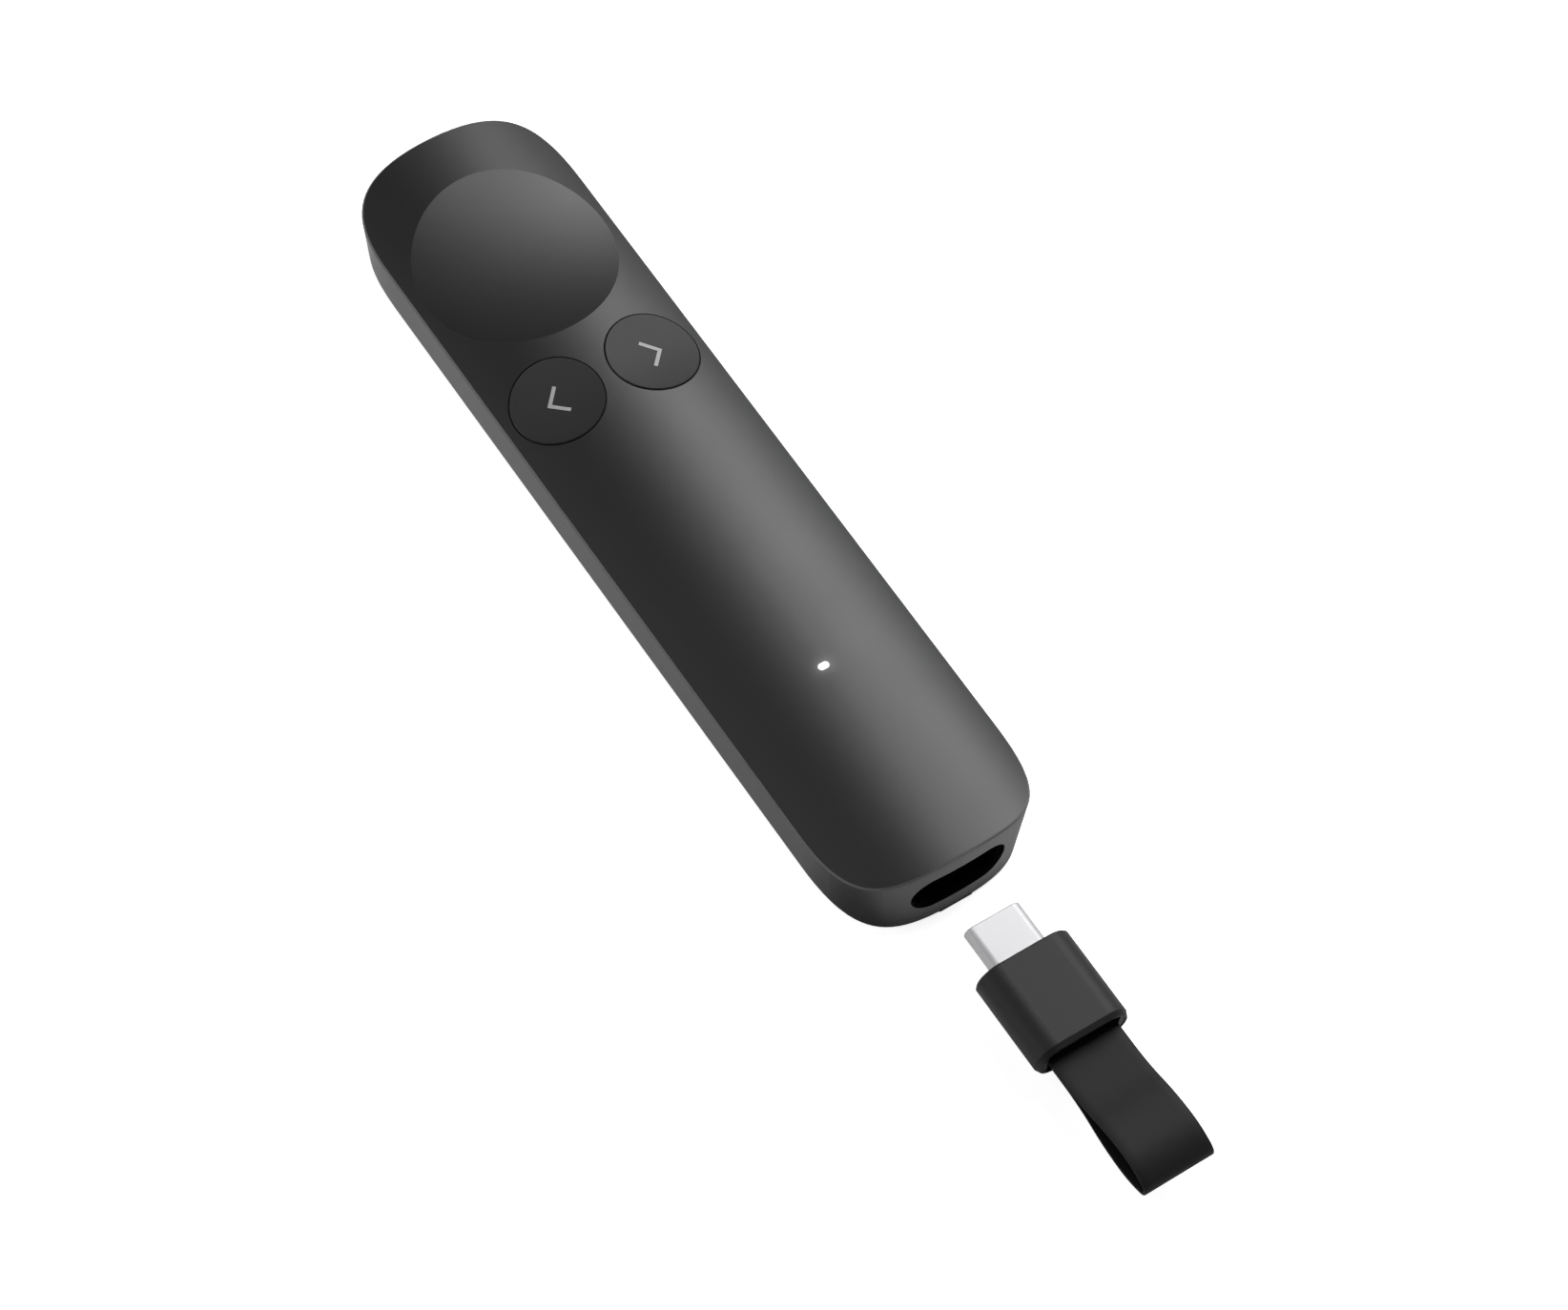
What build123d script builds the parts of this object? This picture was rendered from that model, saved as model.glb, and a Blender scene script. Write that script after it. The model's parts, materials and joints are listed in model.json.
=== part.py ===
"""Wireless presentation clicker: a handset with two buttons and a touch pad, and a plug-in receiver.

Millimetres. The origin is the middle of the handset's underside. +X runs along the handset
towards the end with the receiver slot, +Z is up, and the receiver is drawn out of its slot.
"""

import math
import os

from build123d import *

os.makedirs("parts", exist_ok=True)

# ---------------------------------------------------------------- driving dimensions

# handset outline, seen from above
BODY_LENGTH = 125.0
BODY_WIDTH = 29.8
END_DEPTH = 13.9  # how far the rounding of an end reaches along the side
SIDE_HANDLE = 0.86  # how full the corner is next to the side, as a share of END_DEPTH
END_HANDLE = 0.70  # how full the corner is next to the tip, as a share of half the width
END_JOINTS = (0.0, 0.25, 0.45, 0.55, 0.7, 1.0)  # an end's curve is in strips, for fewer facets

# handset section
RIM_HEIGHT = 9.6  # underside to the edge of the top face, at the sides
CROWN_RADIUS = 37.2
SIDE_DRAFT = 1.25  # how far each side wall draws in between rim and underside
END_LEAN = 0.25  # how far each end wall leans out between rim and underside
RIM_CHAMFER = 0.25
BASE_CHAMFER = 0.4
WALL = 1.0
FLOOR = 1.2
COVER_SKIN = 1.3  # thickness of the crowned plate
SEAM_DROP = 0.7  # the seam lies this far below the top face
SEAM_GAP = 0.02
FIT_GAP = 0.1  # between moulded pieces that slide into each other at assembly
LIP_THICKNESS = 0.8  # of the cover's lip inside the shell
LIP_HEIGHT = 1.7
SNAP_X = (-36.0, 4.0, 40.0)  # a snap hook on both sides at each
SNAP_LENGTH = 4.0
SNAP_REACH = 0.3
SNAP_HEIGHT = 0.8
SNAP_LAND = 0.16  # upright tip of a hook, under its slope
SNAP_RISE = 0.55  # from the lip's edge to the middle of a hook
SNAP_PLAY = 0.12

# touch pad
PAD_X = -41.1
PAD_RADIUS = 13.55
PAD_DEPTH = 1.45
PAD_SKIN = 1.2  # under the lowest point of the dish
PAD_STRIPS = 5  # the dish's surface is in strips along the handset, for fewer facets
PAD_BOSS_WALL = 0.8  # how far the boss reaches beyond the dish's edge
FILM_MARGIN = 0.25  # inside the flat that the boss leaves for the film
FILM_CORNER = 3.5
FILM_THICKNESS = 0.15
FILM_TAIL_WIDTH = 5.0
CONNECTOR_X = -29.0
CONNECTOR_LENGTH = 2.0
CONNECTOR_WIDTH = 6.5
CONNECTOR_HEIGHT = 1.0

# buttons
BUTTON_X = -19.25
BUTTON_Y = 7.22
CAP_RADIUS = 6.17
CAP_GAP = 0.15  # between cap and cover, all round
CAP_PROUD = 0.14
CAP_SKIN = 1.2
CAP_EDGE_CHAMFER = 0.12
BUTTON_TRAVEL = 0.4
LEG_RADIUS = 4.5  # outer side of a cap's snap legs
LEG_WALL = 0.8
LEG_FIT = 0.1  # radial clearance of the legs in their guide
LEG_COUNT = 3
LEG_SWEEP = 34.0  # degrees of the ring that a leg takes up
HOOK_DEPTH = 0.45
HOOK_HEIGHT = 0.6
HOOK_LAND = 0.2  # upright rim of a hook, above its slope
HOOK_PLAY = 0.06
CAP_POST_RADIUS = 1.5
GUIDE_THICKNESS = 0.8
GUIDE_HALF_LENGTH = 7.4
GUIDE_HALF_WIDTH = 12.6
GUIDE_CORNER = 2.0
GUIDE_CLEARANCE = 0.25  # left under a cap that is pressed fully
SHELF_LENGTH = 6.0  # of the shell's shelf under each side of the guide
SHELF_OVERLAP = 0.6
PEG_OFFSET = 5.6  # of the two square pegs that locate the guide, along X from the buttons
PEG_HALF = 0.75
PEG_SHOULDER = 0.55  # how far the post above a peg stands out round it
PEG_FIT = 0.03

# switches under the caps
SWITCH_SIZE = 4.5
SWITCH_HEIGHT = 1.4
SWITCH_FLOOR = 0.2
SWITCH_CORNER = 0.5
DOME_RISE = 0.5  # of the plunger's foot above the switch's floor, when not pressed
PLUNGER_RADIUS = 1.0
PLUNGER_PROUD = 0.55
PLUNGER_FIT = 0.08

# circuit board
BOARD_THICKNESS = 0.8
BOARD_WIDTH = 23.0
BOARD_END_MARGIN = 6.5  # from the far tip of the handset
BOARD_CORNER = 4.0
BOARD_BOSS_RADIUS = 1.9
SCREW_RADIUS = 0.75
SCREW_FIT = 0.03
SCREW_HEAD_RADIUS = 1.5
SCREW_HEAD_HEIGHT = 0.8
SCREW_DRIVE_RADIUS = 0.6
SCREW_DRIVE_FLOOR = 0.35
SCREW_LENGTH = 2.6
PILOT_EXTRA = 0.3  # how much deeper the hole is than the screw
SCREW_PLACES = ((-51.5, 7.5), (38.0, -9.0))

# indicator
LIGHT_X = 31.4
LIGHT_LENGTH = 1.55  # across the handset
LIGHT_WIDTH = 1.0
LIGHT_FIT = 0.04
LIGHT_SINK = 0.02  # below the top face
LIGHT_PIPE_LOW = 0.75  # above the board
SLEEVE_GROW = 0.8
SLEEVE_LENGTH = 4.2
LAMP_HEIGHT = 0.6

# chips
SHIELD_X = -41.0
SHIELD_SIZE = (13.0, 11.0, 1.7)
SHIELD_WALL = 0.2
RADIO_SIZE = (6.0, 6.0, 0.9)
ANTENNA_SIZE = (1.6, 6.0, 0.8)
CHIP_ROW_X = -11.5
CONTROLLER_SIZE = (4.0, 4.0, 0.8)
CHARGER_SIZE = (3.0, 3.0, 0.7)
CHIP_SPACING = 9.0
PORT_CHIP_X = 36.0
PORT_CHIP_SIZE = (3.0, 4.0, 0.7)
PASSIVE_SIZE = (0.5, 1.0, 0.5)
PASSIVE_COUNT = 5
PASSIVE_PITCH = 0.9

# haptic motor
MOTOR_X = -36.0
MOTOR_RADIUS = 4.0
MOTOR_THICKNESS = 2.6

# ribs of the shell
RIB = 0.8
CRADLE_X = (52.5, 58.0)  # ribs under the bay liner
CRADLE_WIDTH = 6.8

# battery
BATTERY_LENGTH = 34.0
BATTERY_WIDTH = 17.0
BATTERY_THICKNESS = 4.2
BATTERY_ROUND = 1.4
BATTERY_X = 9.5
TAB_THICKNESS = 0.15
TAB_WIDTH = 2.0
TAB_REACH = 1.2
TAB_FOOT = 1.4
TAPE_THICKNESS = 0.2
TAPE_MARGIN = 2.0

# receiver
RECEIVER_WIDTH = 13.7
RECEIVER_THICKNESS = 6.3
RECEIVER_LENGTH = 13.3
RECEIVER_WALL = 0.65
RECEIVER_FRONT_WALL = 1.0
RECEIVER_FRONT_CHAMFER = 0.25
RECEIVER_BACK_CHAMFER = (0.35, 0.7)  # across the housing, along it
RECEIVER_PULLED_OUT = 26.4  # from flush with the end of the handset to where it lies here
PLUG_WIDTH = 8.25
PLUG_THICKNESS = 2.4
PLUG_LENGTH = 6.45  # in front of the housing
PLUG_WALL = 0.3
PLUG_MOUTH_CHAMFER = 0.12
PLUG_ROOT = 3.2  # inside the housing
PLUG_SEAT_FIT = 0.02
PLUG_CORE_SINK = 0.25  # behind the shell's mouth
MOUTH_DEPTH = 5.2
CONTACT_COUNT = 8  # in each row
CONTACT_PITCH = 0.7
CONTACT_WIDTH = 0.3
CONTACT_LENGTH = 3.6
CONTACT_SINK = 1.0
CONTACT_PROUD = 0.05
RECEIVER_BOARD_THICKNESS = 0.6
RECEIVER_BOARD_WIDTH = 10.8
RECEIVER_CHIP_SIZE = (3.2, 4.0, 0.8)

# slot, bay liner and socket
SLOT_HEIGHT_MID = 6.55  # above the underside
SLOT_GAP = 0.15  # round the receiver
LINER_WALL = 0.7
LINER_END_GAP = 0.3
LINER_END_FIT = 0.03  # between the liner's mouth and the shell's end wall
SOCKET_GAP = 0.08  # round the plug's shell
SOCKET_WALL = 0.3
SOCKET_DEPTH = 6.7
SOCKET_BLOCK = 0.9  # moulding behind the socket's chamber
TONGUE_THICKNESS = 0.7
TONGUE_WIDTH = 6.5
TONGUE_LENGTH = 4.4
TONGUE_GAP = 0.12
TONGUE_CHAMFER = 0.12
NOTCH_WIDTH = 5.0
NOTCH_DEPTH = 0.8
NOTCH_LENGTH = 2.5

# strap
STRAP_WIDTH = 10.2
STRAP_THICKNESS = 0.46
STRAP_REACH = 20.3  # behind the housing
STRAP_JOIN = 3.1  # the two layers lie together this far behind the housing
STRAP_BELLY = 4.35  # thickest part of the loop
STRAP_BELLY_TO_TIP = 4.9
STRAP_TIP_RADIUS = 1.35
STRAP_PARTING = 3.0  # degrees of the first bend over which the two layers still touch
STRAP_PIN_RADIUS = 0.6
STRAP_PIN_FIT = 0.04
STRAP_SIDE_GAP = 0.2
STRAP_PIN_OVERHANG = 0.7  # beyond the strap, at each side
STRAP_PIN_DEPTH = 3.8  # of the pin's axis, inside the back of the housing
END_PLUG_LENGTH = 5.2
END_PLUG_SINK = 0.6  # inside the back of the housing
END_PLUG_PLATE = 0.7
END_PLUG_FIT = 0.03

# ---------------------------------------------------------------- places that follow

HALF_LENGTH = BODY_LENGTH / 2
HALF_WIDTH = BODY_WIDTH / 2
CROWN_RISE = CROWN_RADIUS - math.sqrt(CROWN_RADIUS**2 - HALF_WIDTH**2)
TOP_Z = RIM_HEIGHT + CROWN_RISE
CROWN_AXIS_Z = TOP_Z - CROWN_RADIUS
SLOT_WIDTH = RECEIVER_WIDTH + 2 * SLOT_GAP
SLOT_THICKNESS = RECEIVER_THICKNESS + 2 * SLOT_GAP
RECEIVER_BACK_X = HALF_LENGTH + RECEIVER_PULLED_OUT
RECEIVER_FRONT_X = RECEIVER_BACK_X - RECEIVER_LENGTH
PLUG_TIP_X = RECEIVER_FRONT_X - PLUG_LENGTH
BAY_END_X = HALF_LENGTH - RECEIVER_LENGTH - LINER_END_GAP
SOCKET_OUT_WIDTH = PLUG_WIDTH + 2 * (SOCKET_GAP + SOCKET_WALL)
SOCKET_OUT_THICKNESS = PLUG_THICKNESS + 2 * (SOCKET_GAP + SOCKET_WALL)
BOARD_TOP_Z = SLOT_HEIGHT_MID - SOCKET_OUT_THICKNESS / 2
BOARD_BOTTOM_Z = BOARD_TOP_Z - BOARD_THICKNESS
BOARD_NEAR_X = BAY_END_X - LINER_WALL - FIT_GAP
SWITCH_TOP_Z = BOARD_TOP_Z + SWITCH_HEIGHT
PLUNGER_TOP_Z = SWITCH_TOP_Z + PLUNGER_PROUD
PAD_FLOOR_Z = TOP_Z - PAD_DEPTH - PAD_SKIN
FLAT_HALF = math.sqrt((CROWN_RADIUS - COVER_SKIN) ** 2 - (PAD_FLOOR_Z - CROWN_AXIS_Z) ** 2)
FILM_SIZE = 2 * (FLAT_HALF - FILM_MARGIN)
SOCKET_BACK_X = BAY_END_X - SOCKET_DEPTH
CAVITY_WIDTH = RECEIVER_WIDTH - 2 * RECEIVER_WALL
CAVITY_THICKNESS = RECEIVER_THICKNESS - 2 * RECEIVER_WALL
PLUG_ROOT_X = RECEIVER_FRONT_X + PLUG_ROOT
END_PLUG_BACK_X = RECEIVER_BACK_X - END_PLUG_SINK
END_PLUG_FRONT_X = END_PLUG_BACK_X - END_PLUG_LENGTH
PIN_X = RECEIVER_BACK_X - STRAP_PIN_DEPTH
CLEAR = 1.0  # how far a cutter reaches past what it cuts


def crown_z(y, drop=0.0):
    """Height of the top face at y, or of a surface that lies drop below it."""
    return CROWN_AXIS_Z + math.sqrt((CROWN_RADIUS - drop) ** 2 - y**2)


CAP_LOW_Z = crown_z(BUTTON_Y + CAP_RADIUS, CAP_SKIN)
GUIDE_TOP_Z = CAP_LOW_Z - BUTTON_TRAVEL - GUIDE_CLEARANCE
GUIDE_BOTTOM_Z = GUIDE_TOP_Z - GUIDE_THICKNESS
HOOK_TOP_Z = GUIDE_BOTTOM_Z - HOOK_PLAY
SNAP_Z = crown_z(HALF_WIDTH - WALL, SEAM_DROP) - LIP_HEIGHT + SNAP_RISE

# ---------------------------------------------------------------- shapes used more than once


def outline(z, inset_side=0.0, inset_end=0.0):
    """Plan outline of the handset at height z, as a face."""
    half_width = HALF_WIDTH - inset_side
    depth = END_DEPTH - inset_end
    tip = HALF_LENGTH - inset_end
    edges = []
    for x_sign, y_sign in ((1, 1), (1, -1), (-1, -1), (-1, 1)):
        flank = (x_sign * (tip - depth), y_sign * half_width)
        flank_handle = (x_sign * (tip - depth + SIDE_HANDLE * depth), y_sign * half_width)
        tip_handle = (x_sign * tip, y_sign * END_HANDLE * half_width)
        quarter = Bezier(flank, flank_handle, tip_handle, (x_sign * tip, 0))
        for start, stop in zip(END_JOINTS, END_JOINTS[1:]):
            edges.append(quarter.trim(start, stop))
    straight = tip - depth
    edges.append(Line((-straight, half_width), (straight, half_width)))
    edges.append(Line((-straight, -half_width), (straight, -half_width)))
    return Pos(0, 0, z) * make_face(edges)


def draft_at(z):
    """How far the side and end walls have drawn in at height z, less than nothing where they lean out."""
    share = (RIM_HEIGHT - z) / RIM_HEIGHT
    return SIDE_DRAFT * share, -END_LEAN * share


def drafted_block(z_low, z_high, inset=0.0):
    """Solid that fills the handset's outline between two heights, inset from its walls."""
    faces = []
    for z in (z_low, z_high):
        side, end = draft_at(z)
        faces.append(outline(z, side + inset, end + inset))
    return loft(faces, ruled=True)


def crown_cylinder(drop=0.0):
    """Long cylinder under the top face, or under a surface that lies drop below it."""
    bar = Cylinder(CROWN_RADIUS - drop, BODY_LENGTH + 2 * CLEAR, rotation=(0, 90, 0))
    return Pos(0, 0, CROWN_AXIS_Z) * bar


def stadium_bar(width, thickness, x_low, x_high, z_mid=SLOT_HEIGHT_MID):
    """Bar along X with a round-ended section."""
    section = Plane.YZ.offset(x_low) * Pos(0, z_mid) * SlotOverall(width, thickness)
    return extrude(section, x_high - x_low)


def block(x_low, x_high, y_low, y_high, z_low, z_high):
    """Rectangular block between the given planes."""
    size = (x_high - x_low, y_high - y_low, z_high - z_low)
    middle = ((x_low + x_high) / 2, (y_low + y_high) / 2, (z_low + z_high) / 2)
    return Pos(*middle) * Box(*size)


def upright(radius, z_low, z_high, x=0.0, y=0.0):
    """Upright cylinder between two heights."""
    return Pos(x, y, (z_low + z_high) / 2) * Cylinder(radius, z_high - z_low)


def save(shape, node):
    export_step(shape, f"parts/{node}.step")


# ---------------------------------------------------------------- handset shells


def pad_cutter():
    """Hourglass about an axis across the handset: it cuts a dish whose edge is a circle."""
    axis_z = TOP_Z + (PAD_RADIUS**2 - PAD_DEPTH**2) / (2 * PAD_DEPTH)

    def waist(y):
        """Point of the hourglass's profile at y, and how the profile runs there."""
        rise = axis_z - crown_z(y)
        radius = math.sqrt(PAD_RADIUS**2 - y**2 + rise**2)
        slope = (1 - rise / (crown_z(y) - CROWN_AXIS_Z)) * y / radius
        return (y, -radius), (1, slope)

    half = PAD_RADIUS + CLEAR / 2
    stations = [waist(half * (2 * strip / PAD_STRIPS - 1)) for strip in range(PAD_STRIPS + 1)]
    edges = [Polyline(stations[-1][0], (half, 0), (-half, 0), stations[0][0])]
    for (start, start_run), (stop, stop_run) in zip(stations, stations[1:]):
        edges.append(Spline(start, stop, tangents=(start_run, stop_run)))
    return Pos(PAD_X, 0, axis_z) * revolve(Plane.YZ * make_face(edges), Axis.Y)


def light_column(grow, z_low, z_high):
    """Round-ended column on the indicator's axis, grown all round."""
    section = SlotOverall(LIGHT_LENGTH + 2 * grow, LIGHT_WIDTH + 2 * grow, rotation=90)
    return extrude(Pos(LIGHT_X, 0, z_low) * section, z_high - z_low)


def snap_wedge(x, side, play=0.0):
    """Wedge on a side wall: flat underneath, sloping above, pointing outwards."""
    root = HALF_WIDTH - WALL - FIT_GAP - LIP_THICKNESS / 2
    tip = HALF_WIDTH - WALL + SNAP_REACH + play - draft_at(SNAP_Z)[0]
    low = SNAP_Z - SNAP_HEIGHT / 2 - play
    high = SNAP_Z + SNAP_HEIGHT / 2 + play
    land = low + SNAP_LAND
    length = SNAP_LENGTH + 2 * play
    section = make_face(Polyline((root, low), (tip, low), (tip, land), (root, high), close=True))
    wedge = extrude(Plane.YZ.offset(x - length / 2) * section, length)
    return wedge if side > 0 else mirror(wedge, Plane.XZ)


def guide_peg(side, grow, z_low, z_high):
    """Square peg beside the buttons, grown all round."""
    x = BUTTON_X + side * PEG_OFFSET
    half = PEG_HALF + grow
    return block(x - half, x + half, -half, half, z_low, z_high)


def both_sides(places):
    """Each x with side +1 and with side -1."""
    return [(x, side) for x in places for side in (1, -1)]


def top_cover():
    low = RIM_HEIGHT - SEAM_DROP - LIP_HEIGHT - CLEAR
    blank = drafted_block(low, TOP_Z + CLEAR) & crown_cylinder()
    crown_face = blank.faces().sort_by(Axis.Z)[-1]
    cover = chamfer(crown_face.edges(), RIM_CHAMFER) - crown_cylinder(SEAM_DROP)
    under_seam = crown_cylinder(SEAM_DROP)
    inner = drafted_block(low, TOP_Z + CLEAR, WALL + FIT_GAP)
    cover += (inner & under_seam) - crown_cylinder(COVER_SKIN)
    hollow = drafted_block(low, TOP_Z + CLEAR, WALL + FIT_GAP + LIP_THICKNESS)
    lip = ((inner - hollow) & under_seam) - crown_cylinder(SEAM_DROP + LIP_HEIGHT)
    for x, side in both_sides(SNAP_X):
        lip += snap_wedge(x, side)
    bay_side = SLOT_WIDTH / 2 + LINER_WALL + FIT_GAP
    bay_top = TOP_Z - COVER_SKIN - FIT_GAP
    lip -= block(HALF_LENGTH - END_DEPTH / 2, HALF_LENGTH, -bay_side, bay_side, 0, bay_top)
    cover += lip
    cover += upright(PAD_RADIUS + PAD_BOSS_WALL, PAD_FLOOR_Z, TOP_Z, PAD_X) & inner & under_seam
    cover -= pad_cutter()
    cover += light_column(SLEEVE_GROW, TOP_Z - SLEEVE_LENGTH, TOP_Z) & under_seam
    for side in (1, -1):
        post = guide_peg(side, PEG_SHOULDER, GUIDE_TOP_Z, TOP_Z)
        post += guide_peg(side, 0, GUIDE_BOTTOM_Z, GUIDE_TOP_Z)
        cover += post & under_seam
        cover -= upright(CAP_RADIUS + CAP_GAP, 0, TOP_Z + CLEAR, BUTTON_X, side * BUTTON_Y)
    return cover - light_column(LIGHT_FIT, 0, TOP_Z + CLEAR)


def bottom_shell():
    tub = drafted_block(0, TOP_Z + CLEAR)
    tub = chamfer(tub.faces().sort_by(Axis.Z)[0].edges(), BASE_CHAMFER)
    tub -= drafted_block(FLOOR, TOP_Z + 2 * CLEAR, WALL)
    tub &= crown_cylinder(SEAM_DROP + SEAM_GAP)
    slot_from = HALF_LENGTH - END_DEPTH / 2
    tub -= stadium_bar(SLOT_WIDTH, SLOT_THICKNESS, slot_from, HALF_LENGTH + CLEAR)
    half = NOTCH_WIDTH / 2
    tub -= block(HALF_LENGTH - NOTCH_LENGTH, HALF_LENGTH + CLEAR, -half, half, -CLEAR, NOTCH_DEPTH)
    for x, side in both_sides(SNAP_X):
        tub -= snap_wedge(x, side, SNAP_PLAY)
    for x, y in SCREW_PLACES:
        tub += upright(BOARD_BOSS_RADIUS, FLOOR / 2, BOARD_BOTTOM_Z, x, y)
        pilot_low = BOARD_TOP_Z - SCREW_LENGTH - PILOT_EXTRA
        tub -= upright(SCREW_RADIUS + SCREW_FIT, pilot_low, BOARD_TOP_Z, x, y)
    within_walls = drafted_block(FLOOR / 2, TOP_Z, WALL / 2)
    for x in (BUTTON_X, BATTERY_X - BATTERY_LENGTH / 4, BATTERY_X + BATTERY_LENGTH / 4):
        rib = block(x - RIB / 2, x + RIB / 2, -HALF_WIDTH, HALF_WIDTH, FLOOR / 2, BOARD_BOTTOM_Z)
        tub += rib & within_walls
    for side in (1, -1):
        low, high = sorted((side * (GUIDE_HALF_WIDTH - SHELF_OVERLAP), side * HALF_WIDTH))
        x_low = BUTTON_X - SHELF_LENGTH / 2
        shelf = block(x_low, x_low + SHELF_LENGTH, low, high, FLOOR / 2, GUIDE_BOTTOM_Z)
        tub += shelf & within_walls & crown_cylinder(SEAM_DROP + LIP_HEIGHT + FIT_GAP)
    liner_low = SLOT_HEIGHT_MID - SLOT_THICKNESS / 2 - LINER_WALL
    half = CRADLE_WIDTH / 2
    for x in CRADLE_X:
        tub += block(x - RIB / 2, x + RIB / 2, -half, half, FLOOR / 2, liner_low)
    return tub


# ---------------------------------------------------------------- buttons and switches


def cap(side):
    """Button cap: crowned disc, snap legs that run in the guide, and the post that meets its switch."""
    y = side * BUTTON_Y
    disc = upright(CAP_RADIUS, CAP_LOW_Z - CLEAR, TOP_Z + CLEAR, BUTTON_X, y)
    disc &= crown_cylinder(-CAP_PROUD)
    disc = chamfer(disc.faces().sort_by(Axis.Z)[-1].edges(), CAP_EDGE_CHAMFER)
    disc -= crown_cylinder(CAP_SKIN)
    bore = LEG_RADIUS - LEG_WALL
    tip = LEG_RADIUS + HOOK_DEPTH
    low = HOOK_TOP_Z - HOOK_HEIGHT
    hook = ((LEG_RADIUS, low), (tip, HOOK_TOP_Z - HOOK_LAND), (tip, HOOK_TOP_Z), (LEG_RADIUS, HOOK_TOP_Z))
    section = make_face(Polyline((bore, low), *hook, (LEG_RADIUS, TOP_Z), (bore, TOP_Z), close=True))
    leg = revolve(Plane.XZ * section, Axis.Z, LEG_SWEEP)
    towards_middle = -90 * side - LEG_SWEEP / 2
    stem = upright(CAP_POST_RADIUS, PLUNGER_TOP_Z, TOP_Z)
    for turn in range(LEG_COUNT):
        stem += Rot(0, 0, towards_middle + turn * 360 / LEG_COUNT) * leg
    return disc + ((Pos(BUTTON_X, y) * stem) & crown_cylinder(CAP_SKIN / 2))


def button_guide():
    """Plate under the cover with a bore for each cap's legs."""
    plan = Rectangle(2 * GUIDE_HALF_LENGTH, 2 * GUIDE_HALF_WIDTH)
    plan = chamfer(plan.vertices(), GUIDE_CORNER)
    plate = extrude(Pos(BUTTON_X, 0, GUIDE_BOTTOM_Z) * plan, GUIDE_THICKNESS)
    for side in (1, -1):
        plate -= upright(LEG_RADIUS + LEG_FIT, 0, TOP_Z, BUTTON_X, side * BUTTON_Y)
        plate -= guide_peg(side, PEG_FIT, 0, TOP_Z)
    return plate


def switch_body(side):
    """Tact switch housing, hollow for its plunger."""
    y = side * BUTTON_Y
    body = on_board(BUTTON_X, y, SWITCH_SIZE, SWITCH_SIZE, SWITCH_HEIGHT)
    body = chamfer(body.edges().filter_by(Axis.Z), SWITCH_CORNER)
    floor_z = BOARD_TOP_Z + SWITCH_FLOOR
    return body - upright(PLUNGER_RADIUS + PLUNGER_FIT, floor_z, TOP_Z, BUTTON_X, y)


def switch_plunger(side):
    """Plunger that hands a press from the cap's post on to the dome in the switch."""
    low = BOARD_TOP_Z + SWITCH_FLOOR + DOME_RISE
    return upright(PLUNGER_RADIUS, low, PLUNGER_TOP_Z, BUTTON_X, side * BUTTON_Y)


# ---------------------------------------------------------------- electronics


def on_board(x, y, length, width, height):
    """Rectangular component that stands on the board."""
    half_x = length / 2
    half_y = width / 2
    return block(x - half_x, x + half_x, y - half_y, y + half_y, BOARD_TOP_Z, BOARD_TOP_Z + height)


def main_board():
    far = -HALF_LENGTH + BOARD_END_MARGIN
    length = BOARD_NEAR_X - far
    plan = chamfer(Rectangle(length, BOARD_WIDTH).vertices(), BOARD_CORNER)
    board = extrude(Pos(far + length / 2, 0, BOARD_BOTTOM_Z) * plan, BOARD_THICKNESS)
    for x, y in SCREW_PLACES:
        board -= upright(SCREW_RADIUS + SCREW_FIT, 0, TOP_Z, x, y)
    return board


def board_screws():
    """Screws with a hexagonal drive."""
    screws = []
    for x, y in SCREW_PLACES:
        shank = upright(SCREW_RADIUS, BOARD_TOP_Z - SCREW_LENGTH, BOARD_TOP_Z, x, y)
        head = upright(SCREW_HEAD_RADIUS, BOARD_TOP_Z, BOARD_TOP_Z + SCREW_HEAD_HEIGHT, x, y)
        drive = Pos(x, y, BOARD_TOP_Z + SCREW_DRIVE_FLOOR) * RegularPolygon(SCREW_DRIVE_RADIUS, 6)
        screws.append(shank + (head - extrude(drive, SCREW_HEAD_HEIGHT)))
    return Compound(children=screws)


def board_chips():
    """Controller, charger and port chips with a row of small parts between the first two."""
    chips = [on_board(CHIP_ROW_X, CHIP_SPACING / 2, *CONTROLLER_SIZE)]
    chips.append(on_board(CHIP_ROW_X, -CHIP_SPACING / 2, *CHARGER_SIZE))
    chips.append(on_board(PORT_CHIP_X, 0, *PORT_CHIP_SIZE))
    for step in range(PASSIVE_COUNT):
        offset = (step - (PASSIVE_COUNT - 1) / 2) * PASSIVE_PITCH
        chips.append(on_board(CHIP_ROW_X + offset, 0, *PASSIVE_SIZE))
    return Compound(children=chips)


def radio_shield():
    """Stamped can over the radio, open underneath."""
    length, width, height = SHIELD_SIZE
    inner_size = (length - 2 * SHIELD_WALL, width - 2 * SHIELD_WALL, height - SHIELD_WALL)
    return on_board(SHIELD_X, 0, *SHIELD_SIZE) - on_board(SHIELD_X, 0, *inner_size)


def pad_sensor():
    """Touch film under the dished pad, with the tail that bends down to the board."""
    low = PAD_FLOOR_Z - FILM_THICKNESS
    half = FILM_TAIL_WIDTH / 2
    plan = chamfer(Rectangle(FILM_SIZE, FILM_SIZE).vertices(), FILM_CORNER)
    film = extrude(Pos(PAD_X, 0, low) * plan, FILM_THICKNESS)
    film += block(PAD_X, CONNECTOR_X, -half, half, low, PAD_FLOOR_Z)
    connector_top = BOARD_TOP_Z + CONNECTOR_HEIGHT
    return film + block(CONNECTOR_X - FILM_THICKNESS, CONNECTOR_X, -half, half, connector_top, low)


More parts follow.
